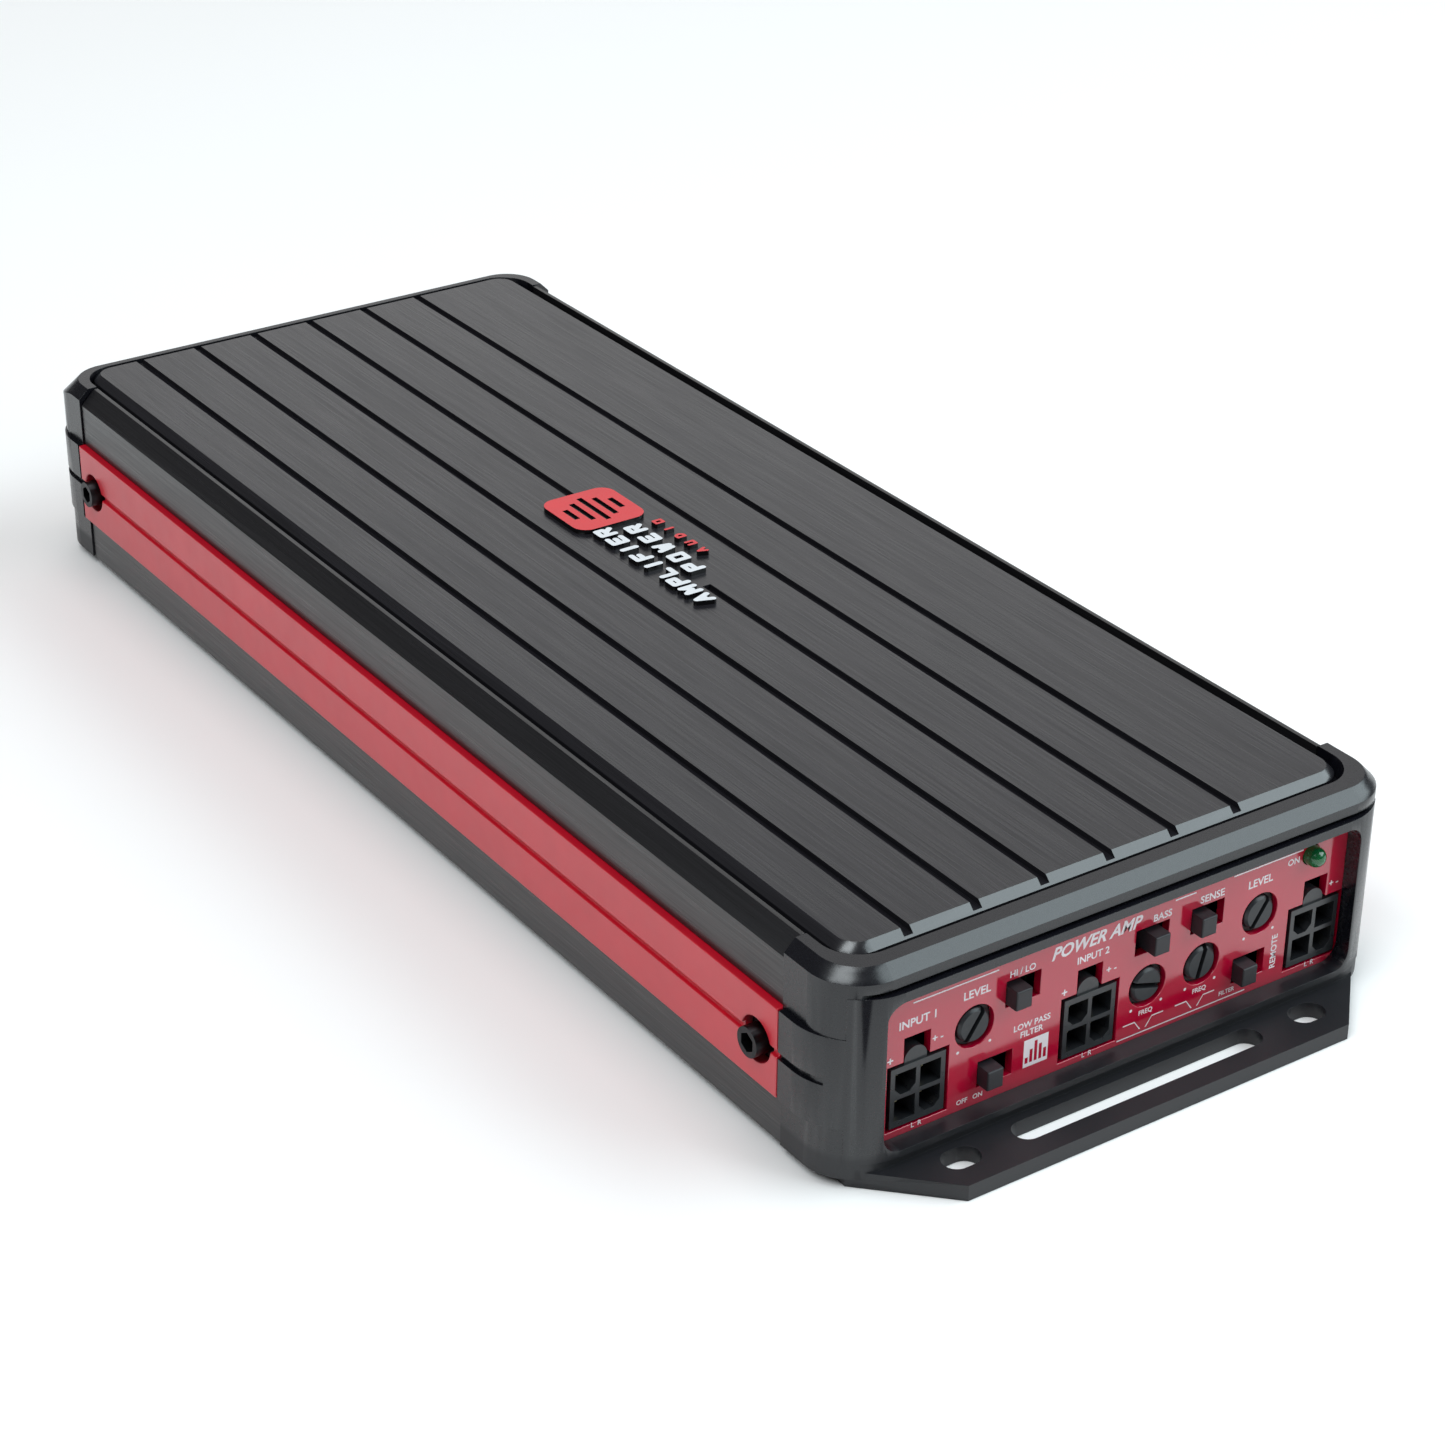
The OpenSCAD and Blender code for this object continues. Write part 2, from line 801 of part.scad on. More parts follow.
module slide_lever(x, z, offset) {
    translate([x + offset, 0, z]) {
        along_y(-panel_y - lever_out, -control_y - 1) square([lever_w, 3.1], center = true);
    }
}

module input_switch() {
    color("#2b2b2e") slide_switch(input_x, upper_z);
}

module low_filter_switch() {
    color("#2b2b2e") slide_switch(low_filter_x, lower_z);
}

module bass_switch() {
    color("#2b2b2e") slide_switch(bass_x, upper_z);
}

module sense_switch() {
    color("#2b2b2e") slide_switch(sense_x, upper_z);
}

module high_filter_switch() {
    color("#2b2b2e") slide_switch(high_filter_x, lower_z);
}

module input_slider() {
    color("#303134") slide_lever(input_x, upper_z, lever_left);
}

module low_filter_slider() {
    color("#303134") slide_lever(low_filter_x, lower_z, lever_left);
}

module bass_slider() {
    color("#303134") slide_lever(bass_x, upper_z, 0);
}

module sense_slider() {
    color("#303134") slide_lever(sense_x, upper_z, lever_left);
}

module high_filter_slider() {
    color("#303134") slide_lever(high_filter_x, lower_z, lever_left);
}

module power_led() {
    color("#2f8f4a") translate([led_at[0], -control_y, led_at[1]]) rotate([90, 0, 0]) {
        translate([0, 0, 5]) cylinder(h = 1, r = 2);
        translate([0, 0, 5]) cylinder(h = panel_y - control_y - 4.2, r = 1.55);
        translate([0, 0, panel_y - control_y + 0.8]) sphere(1.55);
        for (x = [-0.8, 0.8]) translate([x, 0, 0]) cylinder(h = 5 + eps, r = 0.25, $fn = 16);
    }
}

// ---------- rear connectors ----------

function terminal_slot_x(i) = (i - (terminal_count - 1) / 2) * terminal_pitch;

module power_terminal() {
    color("#1c1c1e") translate([terminal_x, 0, terminal_z]) mirror([0, 1, 0]) difference() {
        along_y(-panel_y - 0.6, -half_l - 0.2)
            square([terminal_count * terminal_pitch, terminal_h], center = true);
        for (i = [0:terminal_count - 1]) translate([terminal_slot_x(i), 0, 0]) {
            along_y(-far, -panel_y + entry_depth) translate([0, entry_z]) square(entry_w, center = true);
            translate([0, -panel_y + clamp_depth, 0]) cylinder(h = far, r = 2.3);
        }
    }
}

// Metal cage lining each wire entry, with a threaded hole for its screw
module terminal_cages() {
    color("silver") translate([terminal_x, 0, terminal_z + entry_z]) mirror([0, 1, 0])
        for (i = [0:terminal_count - 1]) translate([terminal_slot_x(i), 0, 0]) difference() {
            along_y(-panel_y + 1.5, -panel_y + entry_depth - 0.1) difference() {
                square(entry_w - 0.05, center = true);
                square(entry_w - 1.6, center = true);
            }
            translate([0, -panel_y + clamp_depth, 0]) cylinder(h = far, r = hole_r);
        }
}

module terminal_screws() {
    color("silver") translate([terminal_x, panel_y - clamp_depth, terminal_z])
        for (i = [0:terminal_count - 1]) translate([terminal_slot_x(i), 0, 6.2]) {
            difference() {
                translate([0, 0, -2]) cylinder(h = 2, r = 2.2);
                translate([0, 0, -0.9]) block([far, 0.7, 2]);
            }
            translate([0, 0, -6.2]) cylinder(h = 4.3, r = screw_r);
        }
}

module speaker_socket() {
    color("#1c1c1e") translate([speaker_x, 0, speaker_z]) mirror([0, 1, 0]) socket_housing(4);
}

module speaker_pins() {
    color("gold") translate([speaker_x, 0, speaker_z]) mirror([0, 1, 0]) contact_pins(4);
}

module fuse_holder() {
    color("#1c1c1e") translate([fuse_x, 0, fuse_z]) mirror([0, 1, 0]) difference() {
        along_y(-panel_y - 0.3, -half_l - 1) square([2 * fuse_pitch, 15.4], center = true);
        for (s = [-1, 1]) translate([s * fuse_pitch / 2, 0, 0])
            along_y(-far, -panel_y + 8.6) square([fuse_w + 0.1, fuse_h + 0.1], center = true);
    }
}

// Two blade fuses: a clear coloured body, a grip ridge and two blades each
module fuses() {
    color("#e0801c") translate([fuse_x, 0, fuse_z]) mirror([0, 1, 0])
        for (s = [-1, 1]) translate([s * fuse_pitch / 2, 0, 0]) {
            along_y(-panel_y - 1.6, -panel_y + fuse_seat)
                square([fuse_w - 1.4, fuse_h - 0.6], center = true);
            along_y(-panel_y - 2.6, -panel_y - 1.6) square([fuse_w - 0.4, fuse_h - 0.2], center = true);
            for (z = [-4.2, 4.2]) translate([0, 0, z])
                along_y(-panel_y + fuse_seat - eps, -panel_y + 8.5) square([0.8, 4.6], center = true);
        }
}

// ---------- parts on the main board ----------

module ring(r_out, r_in, h) {
    c = 1.2;
    rotate_extrude() polygon([
        [r_in, c], [r_in + c, 0], [r_out - c, 0], [r_out, c],
        [r_out, h - c], [r_out - c, h], [r_in + c, h], [r_in, h - c]
    ]);
}

module toroid_core() {
    color("#6b8f5a") translate([toroid_at[0], toroid_at[1], board_top + winding_t + 0.1])
        ring(toroid_out_r - winding_t - 0.1, toroid_in_r + winding_t + 0.1, toroid_h - 2 * winding_t - 0.2);
}

// Two windings, each wrapped round nearly half of the core
module toroid_winding() {
    color("#b4642c") translate([toroid_at[0], toroid_at[1], board_top]) difference() {
        ring(toroid_out_r, toroid_in_r, toroid_h);
        translate([0, 0, winding_t])
            ring(toroid_out_r - winding_t, toroid_in_r + winding_t, toroid_h - 2 * winding_t);
        translate([0, 0, -1]) block([5, far, far]);
    }
}

module output_inductors() {
    color("#303236") for (p = inductor_at) translate([p[0], p[1], board_top]) {
        difference() {
            block([17, 17, 13]);
            for (a = [45:90:315]) rotate([0, 0, a]) translate([12.6, 0, -1]) block([4, 8, 20]);
        }
    }
}

module reservoir_capacitors() {
    color("#1f2a4a") for (p = capacitor_at) translate([p[0], p[1], board_top]) difference() {
        cylinder(h = 15.5, r = 6.2);
        // crimp near the base and the pressure-relief cross in the can's top
        translate([0, 0, 2]) rotate_extrude() translate([6.4, 0]) circle(0.6, $fn = 24);
        for (a = [45, 135]) rotate([0, 0, a]) translate([0, 0, 15.3]) block([8, 0.4, 1]);
    }
}

function clamp_screw_y() = [for (i = [0:2:len(transistor_y) - 2]) transistor_y[i] + screw_gap_y];

module power_transistors() {
    color("#1b1b1d") both_sides() for (y = transistor_y)
        translate([inner_x - pad_t - device_t / 2, y, device_z]) block([device_t, device_w, device_h]);
    color("silver") both_sides() for (y = transistor_y, k = [-1, 0, 1])
        translate([inner_x - pad_t - device_t / 2, y + k * link_pitch, board_top]) block([0.6, 0.9, 0.45]);
}

module thermal_pads() {
    color("#8d96a0") both_sides() for (y = transistor_y)
        translate([inner_x - pad_t / 2, y, device_z]) block([pad_t, device_w + 1, device_h]);
}

module clamp_bars() {
    bar_l = transistor_y[len(transistor_y) - 1] - transistor_y[0] + device_w + 2;
    mid_y = (transistor_y[len(transistor_y) - 1] + transistor_y[0]) / 2;
    color("#8b8d90") both_sides() difference() {
        translate([inner_x - pad_t - device_t - clamp_t / 2, mid_y, clamp_z - 3]) block([clamp_t, bar_l, 6]);
        for (y = clamp_screw_y())
            translate([0, y, clamp_z]) rotate([0, 90, 0]) cylinder(h = far, r = hole_r + 0.1);
    }
}

module clamp_screws() {
    reach = 7.6;
    color("silver") both_sides() for (y = clamp_screw_y())
        translate([inner_x - pad_t - device_t - clamp_t - 1.8, y, clamp_z])
            rotate([0, -90, 0]) pan_screw(reach);
}

module driver_chips() {
    color("#1a1a1c") for (p = chip_at) translate([p[0], p[1], board_top]) {
        difference() {
            translate([0, 0, 0.3]) block([12, 8, 2.2]);
            translate([-4.6, 2.6, 2.2]) cylinder(h = 1, r = 0.6, $fn = 24);
        }
    }
    color("silver") for (p = chip_at, i = [-3:3], s = [-1, 1])
        translate([p[0] + i * 1.6, p[1] + s * 4.6, board_top]) block([0.6, 1.3, 0.9]);
}

// ---------- badge ----------

// Plain tile with raised level bars
module badge_emblem() {
    color("#d0242c") translate([emblem_at[0], emblem_at[1], plate_top]) difference() {
        linear_extrude(badge_h) rounded_rect(emblem_w, emblem_w, 2.6);
        for (i = [0:4])
            translate([(i - 2) * 2.2, 0, badge_h - 0.4]) block([1, level[i], 1]);
    }
    color("#d0242c") translate([0, 0, plate_top]) linear_extrude(badge_h) word(small_line, small_scale);
}

// Round-ended stroke from a to b, in letter heights
module stroke_line(a, b) {
    d = [b[0] - a[0], b[1] - a[1]];
    translate(a) circle(stroke / 2, $fn = 24);
    translate(b) circle(stroke / 2, $fn = 24);
    translate((a + b) / 2) rotate(atan2(d[1], d[0])) square([norm(d), stroke], center = true);
}

// Strokes of each letter, on a grid 2 wide and 2 high
function strokes(c) =
    c == "A" ? [[[0, 0], [1, 2]], [[1, 2], [2, 0]], [[0.4, 0.8], [1.6, 0.8]]] :
    c == "M" ? [[[0, 0], [0, 2]], [[0, 2], [1, 0.8]], [[1, 0.8], [2, 2]], [[2, 2], [2, 0]]] :
    c == "U" ? [[[0, 2], [0, 0]], [[0, 0], [2, 0]], [[2, 0], [2, 2]]] :
    c == "D" ? [[[0, 0], [0, 2]], [[0, 2], [1.3, 2]], [[1.3, 2], [2, 1.3]], [[2, 1.3], [2, 0.7]],
        [[2, 0.7], [1.3, 0]], [[1.3, 0], [0, 0]]] :
    c == "P" ? [[[0, 0], [0, 2]], [[0, 2], [2, 2]], [[2, 2], [2, 1]], [[2, 1], [0, 1]]] :
    c == "R" ? [[[0, 0], [0, 2]], [[0, 2], [2, 2]], [[2, 2], [2, 1]], [[2, 1], [0, 1]], [[1, 1], [2, 0]]] :
    c == "L" ? [[[0, 2], [0, 0]], [[0, 0], [2, 0]]] :
    c == "I" ? [[[1, 0], [1, 2]]] :
    c == "F" ? [[[0, 0], [0, 2]], [[0, 2], [2, 2]], [[0, 1], [1.6, 1]]] :
    c == "E" ? [[[2, 0], [0, 0]], [[0, 0], [0, 2]], [[0, 2], [2, 2]], [[0, 1], [1.6, 1]]] :
    c == "O" ? [[[0, 0], [0, 2]], [[0, 2], [2, 2]], [[2, 2], [2, 0]], [[2, 0], [0, 0]]] :
    c == "W" ? [[[0, 2], [0.5, 0]], [[0.5, 0], [1, 1.4]], [[1, 1.4], [1.5, 0]], [[1.5, 0], [2, 2]]] :
    [];

module letter(c) {
    sx = (letter_w - stroke) / 2;
    sy = (letter_h - stroke) / 2;
    for (s = strokes(c))
        stroke_line([(s[0][0] - 1) * sx, (s[0][1] - 1) * sy], [(s[1][0] - 1) * sx, (s[1][1] - 1) * sy]);
}

// Generic words in raised letters
module word(line, size = 1) {
    for (i = [0:len(line[0]) - 1])
        translate([line[1], line[2] + (i + 0.5) * line[3]]) rotate(90) scale([size, size]) letter(line[0][i]);
}

module badge_letters() {
    color("#e8e8e8") translate([0, 0, plate_top]) linear_extrude(badge_h)
        for (line = lines) word(line);
}

heatsink();
top_plate();
plate_screws();
trim_left();
trim_right();
front_cap();
rear_cap();
front_panel();
rear_panel();
bottom_plate();
bottom_screws();
side_screws();
main_board();
board_screws();
control_board();
output_board();
board_links();
input_socket_1();
input_socket_2();
input_socket_3();
input_pins();
gain_trimmer_1();
gain_trimmer_2();
filter_trimmer_1();
filter_trimmer_2();
gain_shaft_1();
gain_shaft_2();
filter_shaft_1();
filter_shaft_2();
input_switch();
low_filter_switch();
bass_switch();
sense_switch();
high_filter_switch();
input_slider();
low_filter_slider();
bass_slider();
sense_slider();
high_filter_slider();
power_led();
power_terminal();
terminal_cages();
terminal_screws();
speaker_socket();
speaker_pins();
fuse_holder();
fuses();
toroid_core();
toroid_winding();
output_inductors();
reservoir_capacitors();
power_transistors();
thermal_pads();
clamp_bars();
clamp_screws();
driver_chips();
badge_emblem();
badge_letters();
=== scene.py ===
import math

import bmesh
import bpy
from mathutils import Matrix, Vector


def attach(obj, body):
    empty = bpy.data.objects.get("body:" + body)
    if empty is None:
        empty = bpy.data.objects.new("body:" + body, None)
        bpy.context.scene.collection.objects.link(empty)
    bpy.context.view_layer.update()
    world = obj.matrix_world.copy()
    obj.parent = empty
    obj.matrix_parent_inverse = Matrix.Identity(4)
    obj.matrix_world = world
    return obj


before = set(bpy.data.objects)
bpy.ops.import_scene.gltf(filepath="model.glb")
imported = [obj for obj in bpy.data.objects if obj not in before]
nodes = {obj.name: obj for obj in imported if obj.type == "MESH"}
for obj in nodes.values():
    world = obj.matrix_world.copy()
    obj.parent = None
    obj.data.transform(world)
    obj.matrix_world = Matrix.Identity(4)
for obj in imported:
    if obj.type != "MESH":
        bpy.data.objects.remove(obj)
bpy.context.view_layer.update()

MM = 0.001
CHASSIS = "chassis"

# Heights on the part, in metres
FOOT_TOP = (0.0046, 0.0056)
GROOVE_TOP = 0.0340
BADGE_TOP = 0.0351

# Depth of the print, in millimetres from the middle: 0.02 in front of each panel's face
PRINT_Y = 120.30

FLOOR_HALF = 2.5
FLOOR_Z = -0.0001
WELD_REACH = 0.000005


# ---------- camera, light and floor ----------

def add_camera():
    azimuth = math.radians(-34.58)
    elevation = math.radians(28.80)
    roll = math.radians(0.54)
    back = Vector((
        math.sin(azimuth) * math.cos(elevation),
        -math.cos(azimuth) * math.cos(elevation),
        math.sin(elevation),
    ))
    right = Vector((math.cos(azimuth), math.sin(azimuth), 0))
    up = back.cross(right)
    turned_right = right * math.cos(roll) + up * math.sin(roll)
    turned_up = up * math.cos(roll) - right * math.sin(roll)
    camera = bpy.data.objects.new("camera", bpy.data.cameras.new("camera"))
    camera.matrix_world = Matrix((turned_right, turned_up, back)).transposed().to_4x4()
    camera.location = (-0.26293, -0.40453, 0.26707)
    camera.data.lens = 82.1
    camera.data.sensor_width = 36
    camera.data.clip_start = 0.01
    camera.data.clip_end = 20
    bpy.context.scene.collection.objects.link(camera)
    bpy.context.scene.camera = camera


def add_softbox(name, place, size, radiance, color=(1, 1, 1), target=(0, 0, 0)):
    light = bpy.data.lights.new(name, "AREA")
    light.shape = "RECTANGLE"
    light.size, light.size_y = size
    light.energy = radiance * math.pi * size[0] * size[1]
    light.color = color
    lamp = bpy.data.objects.new(name, light)
    lamp.location = place
    lamp.rotation_euler = (Vector(target) - Vector(place)).to_track_quat("-Z", "Y").to_euler()
    bpy.context.scene.collection.objects.link(lamp)
    return lamp


def add_studio():
    world = bpy.data.worlds.new("studio")
    world.use_nodes = True
    background = world.node_tree.nodes["Background"]
    background.inputs["Color"].default_value = (0.97, 0.98, 1.0, 1)
    background.inputs["Strength"].default_value = 0.1
    bpy.context.scene.world = world
    add_softbox("right", (0.95, -0.72, 0.92), (1.45, 1.1), 4.1, (0.82, 0.955, 1.0))
    add_softbox("left", (-0.82, -0.36, 1.25), (0.8, 0.8), 6.4, (0.9, 0.97, 1.0))
    add_softbox("back", (0.85, 1.22, 0.62), (1.1, 1.0), 0.78)
    add_softbox("top", (0.0, 0.1, 1.6), (0.9, 0.9), 3.0)
    scene = bpy.context.scene
    scene.view_settings.view_transform = "Standard"

    bm = bmesh.new()
    bm.faces.new([
        bm.verts.new((x * FLOOR_HALF, y * FLOOR_HALF, FLOOR_Z))
        for x, y in ((-1, -1), (1, -1), (1, 1), (-1, 1))
    ])
    mesh = bpy.data.meshes.new("floor")
    bm.to_mesh(mesh)
    bm.free()
    floor = bpy.data.objects.new("floor", mesh)
    bpy.context.scene.collection.objects.link(floor)
    paper = Finish("floor_paper", (0.96, 0.935, 0.925), 0.9)
    paper.vary_color(0.01, 3)
    paper.bump(paper.noise(900, 2), 0.05, 0.0001)
    floor.data.materials.append(paper.material)


# ---------- materials ----------

def srgb(red, green, blue):
    """Linear colour for a colour given in the usual 0 to 255 steps."""
    def linear(step):
        value = step / 255
        return value / 12.92 if value <= 0.04045 else ((value + 0.055) / 1.055) ** 2.4
    return linear(red), linear(green), linear(blue)


class Finish:
    """A material whose grain comes from noise laid over the part's own coordinates, in metres."""

    def __init__(self, name, color, roughness, metallic=0.0, ior=1.5):
        self.material = bpy.data.materials.new(name)
        self.material.use_nodes = True
        self.tree = self.material.node_tree
        self.shader = self.tree.nodes["Principled BSDF"]
        self.color = color
        self.roughness = roughness
        self.last_normal = None
        self.shader.inputs["Base Color"].default_value = (*color, 1)
        self.shader.inputs["Roughness"].default_value = roughness
        self.shader.inputs["Metallic"].default_value = metallic
        self.shader.inputs["IOR"].default_value = ior
        self.material.diffuse_color = (*color, 1)

    def node(self, kind, **settings):
        node = self.tree.nodes.new(kind)
        for key, value in settings.items():
            setattr(node, key, value)
        return node

    def link(self, source, target):
        self.tree.links.new(source, target)

    def noise(self, scale, detail=2.0, stretch=(1, 1, 1), rough=0.5):
        place = self.node("ShaderNodeTexCoord")
        mapping = self.node("ShaderNodeMapping")
        mapping.inputs["Scale"].default_value = stretch
        texture = self.node("ShaderNodeTexNoise")
        texture.inputs["Scale"].default_value = scale
        texture.inputs["Detail"].default_value = detail
        texture.inputs["Roughness"].default_value = rough
        self.link(place.outputs["Object"], mapping.inputs["Vector"])
        self.link(mapping.outputs["Vector"], texture.inputs["Vector"])
        return texture.outputs["Fac"]

    def spread(self, value, low, high, start=0.3, end=0.7):
        """Turns a noise value from start to end into one from low to high."""
        ranged = self.node("ShaderNodeMapRange")
        limits = {"From Min": start, "From Max": end, "To Min": low, "To Max": high}
        for key, number in limits.items():
            ranged.inputs[key].default_value = number
        self.link(value, ranged.inputs["Value"])
        return ranged.outputs["Result"]

    def blend(self, value, low, high):
        mix = self.node("ShaderNodeMix", data_type="RGBA")
        for socket, item in ((mix.inputs[6], low), (mix.inputs[7], high)):
            if isinstance(item, tuple):
                socket.default_value = (*item, 1)
            else:
                self.link(item, socket)
        self.link(value, mix.inputs[0])
        return mix.outputs[2]

    def average(self, one, other, share):
        mix = self.node("ShaderNodeMix", data_type="FLOAT")
        mix.inputs[0].default_value = share
        self.link(one, mix.inputs[2])
        self.link(other, mix.inputs[3])
        return mix.outputs[0]

    def mask(self, value, number, share):
        """The value, or number where share is 1."""
        mix = self.node("ShaderNodeMix", data_type="FLOAT")
        mix.inputs[3].default_value = number
        self.link(share, mix.inputs[0])
        self.link(value, mix.inputs[2])
        return mix.outputs[0]

    def along(self, source, axis):
        """One axis of the part's own Object position or Normal."""
        place = self.node("ShaderNodeTexCoord")
        parts = self.node("ShaderNodeSeparateXYZ")
        self.link(place.outputs[source], parts.inputs["Vector"])
        return parts.outputs[axis]

    def facing(self, axis, start, end):
        """0 to 1 as the surface turns towards an axis, either way along it."""
        size = self.node("ShaderNodeMath", operation="ABSOLUTE")
        self.link(self.along("Normal", axis), size.inputs[0])
        return self.spread(size.outputs[0], 0, 1, start, end)

    def sunken(self, height):
        """1 on level faces below a height, in metres."""
        both = self.node("ShaderNodeMath", operation="MULTIPLY")
        low = self.spread(self.along("Object", "Z"), 1, 0, height - 0.0001, height)
        self.link(low, both.inputs[0])
        self.link(self.facing("Z", 0.9, 0.95), both.inputs[1])
        return both.outputs[0]

    def vary_color(self, amount, scale, detail=3.0, stretch=(1, 1, 1)):
        dark = tuple(part * (1 - amount) for part in self.color)
        light = tuple(min(1.0, part * (1 + amount)) for part in self.color)
        fac = self.spread(self.noise(scale, detail, stretch), 0, 1)
        self.link(self.blend(fac, dark, light), self.shader.inputs["Base Color"])

    def vary_roughness(self, amount, scale, detail=3.0, stretch=(1, 1, 1)):
        low = max(0.02, self.roughness - amount)
        value = self.spread(self.noise(scale, detail, stretch), low, self.roughness + amount)
        self.link(value, self.shader.inputs["Roughness"])

    def bump(self, height, strength, distance):
        bump = self.node("ShaderNodeBump")
        bump.inputs["Strength"].default_value = strength
        bump.inputs["Distance"].default_value = distance
        self.link(height, bump.inputs["Height"])
        if self.last_normal is not None:
            self.link(self.last_normal, bump.inputs["Normal"])
        self.last_normal = bump.outputs["Normal"]
        self.link(self.last_normal, self.shader.inputs["Normal"])


# Stretches that draw noise out along the length: on side walls, and on the top with its end bevels
WALL_HAIR = (1, 0.012, 1)
TOP_HAIR = (1, 0.012, 0.012)


def brushed(name, color, roughness, stretch, dark_below=0.0):
    """Black anodised aluminium with hairlines along the length, and smooth machined end bevels.

    Level faces below the height dark_below, in metres, are groove floors that stay dull.
    """
    finish = Finish(name, color, roughness, 0.0, 1.6)
    fine = finish.noise(5200, 3, stretch, 0.6)
    coarse = finish.noise(1500, 3, stretch, 0.6)
    hair = finish.average(fine, coarse, 0.3)
    hair = finish.mask(hair, 0.62, finish.facing("Y", 0.2, 0.45))
    gloss = finish.mask(finish.spread(hair, 0.4, 0.62, 0.38, 0.62), 0.03, finish.sunken(dark_below))
    finish.link(gloss, finish.shader.inputs["Specular IOR Level"])
    dullness = finish.spread(hair, roughness + 0.04, roughness - 0.03, 0.38, 0.62)
    finish.link(dullness, finish.shader.inputs["Roughness"])
    finish.vary_color(0.25, 3000, 3, stretch)
    finish.bump(hair, 0.2, 0.00002)
    return finish.material


def moulded(name, color, roughness, grain=2600, depth=0.00003, strength=0.3, ior=1.45):
    """Moulded plastic with a fine spark-eroded texture."""
    finish = Finish(name, color, roughness, 0.0, ior)
    finish.vary_color(0.1, 1400)
    finish.vary_roughness(0.03, 1100)
    finish.bump(finish.noise(grain, 3), strength, depth)
    return finish.material


def cap_plastic():
    """Black moulded end caps: satin ring and sides, duller foot close to the floor."""
    finish = Finish("cap_plastic", srgb(13, 13, 19), 0.27, 0.0, 1.58)
    finish.vary_color(0.06, 1400)
    on_foot = finish.spread(finish.along("Object", "Z"), 1, 0, *FOOT_TOP)
    grain = finish.spread(finish.noise(1100, 3), 0.255, 0.285)
    finish.link(finish.mask(grain, 0.5, on_foot), finish.shader.inputs["Roughness"])
    finish.bump(finish.noise(3000, 3), 0.07, 0.00002)
    return finish.material


def painted(name, color, roughness, ior=1.5, peel=0.05):
    """Satin or gloss paint with a faint orange peel."""
    finish = Finish(name, color, roughness, 0.0, ior)
    finish.vary_color(0.05, 120)
    finish.vary_roughness(0.03, 300)
    finish.bump(finish.noise(1400, 2), peel, 0.00003)
    finish.bump(finish.noise(5200, 2), 0.08, 0.00001)
    return finish.material


def plated(name, color, roughness):
    """Plated metal with fine scratches and slight staining."""
    finish = Finish(name, color, roughness, 1.0)
    finish.vary_color(0.12, 500)
    finish.vary_roughness(0.08, 900)
    finish.bump(finish.noise(2600, 4), 0.12, 0.00002)
    return finish.material


def topped(name, face, side_shade, roughness):
    """Glossy face with painted shade: the side walls take a dark colour for the shade along a
    raised badge's edges, and level faces sunk below the badge top take the same dark colour.
    """
    finish = Finish(name, face, roughness)
    upward = finish.spread(finish.along("Normal", "Z"), 0, 1, 0.6, 0.7)
    deeper = tuple(part * 0.94 for part in face)
    shade = finish.blend(finish.spread(finish.noise(300, 2), 0, 1), deeper, face)
    # Painted shade: faces that turn away from up take the dark side colour, not the face colour.
    raised = finish.blend(upward, side_shade, shade)
    # Level faces sunk below the badge top take the same dark colour.
    cut = finish.blend(finish.sunken(BADGE_TOP), raised, side_shade)
    finish.link(cut, finish.shader.inputs["Base Color"])
    finish.vary_roughness(0.04, 600)
    finish.bump(finish.noise(2200, 2), 0.05, 0.00002)
    return finish.material


def circuit_board():
    """Green solder mask over copper tracks."""
    mask = srgb(16, 70, 44)
    finish = Finish("solder_mask", mask, 0.3)
    place = finish.node("ShaderNodeTexCoord")
    cells = finish.node("ShaderNodeTexVoronoi", distance="MANHATTAN", feature="F1")
    cells.inputs["Scale"].default_value = 260
    finish.link(place.outputs["Object"], cells.inputs["Vector"])
    track = finish.spread(cells.outputs["Distance"], 0, 1, 0.42, 0.46)
    finish.link(finish.blend(track, mask, srgb(34, 104, 62)), finish.shader.inputs["Base Color"])
    finish.vary_roughness(0.05, 300)
    finish.bump(track, 0.3, 0.00003)
    return finish.material


def wound_copper():
    """Enamelled wire laid side by side round a core."""
    finish = Finish("enamelled_copper", srgb(168, 84, 40), 0.28, 0.6)
    finish.vary_color(0.2, 700)
    finish.bump(finish.noise(1800, 2), 0.5, 0.0002)
    return finish.material


def clear_lens(name, color, glow=0.0):
    finish = Finish(name, color, 0.12, 0.0, 1.5)
    finish.vary_color(0.1, 500)
    finish.shader.inputs["Transmission Weight"].default_value = 0.55
    finish.shader.inputs["Coat Weight"].default_value = 0.4
    if glow:
        finish.shader.inputs["Emission Color"].default_value = (*color, 1)
        finish.shader.inputs["Emission Strength"].default_value = glow
    finish.bump(finish.noise(1500, 2), 0.04, 0.00002)
    return finish.material


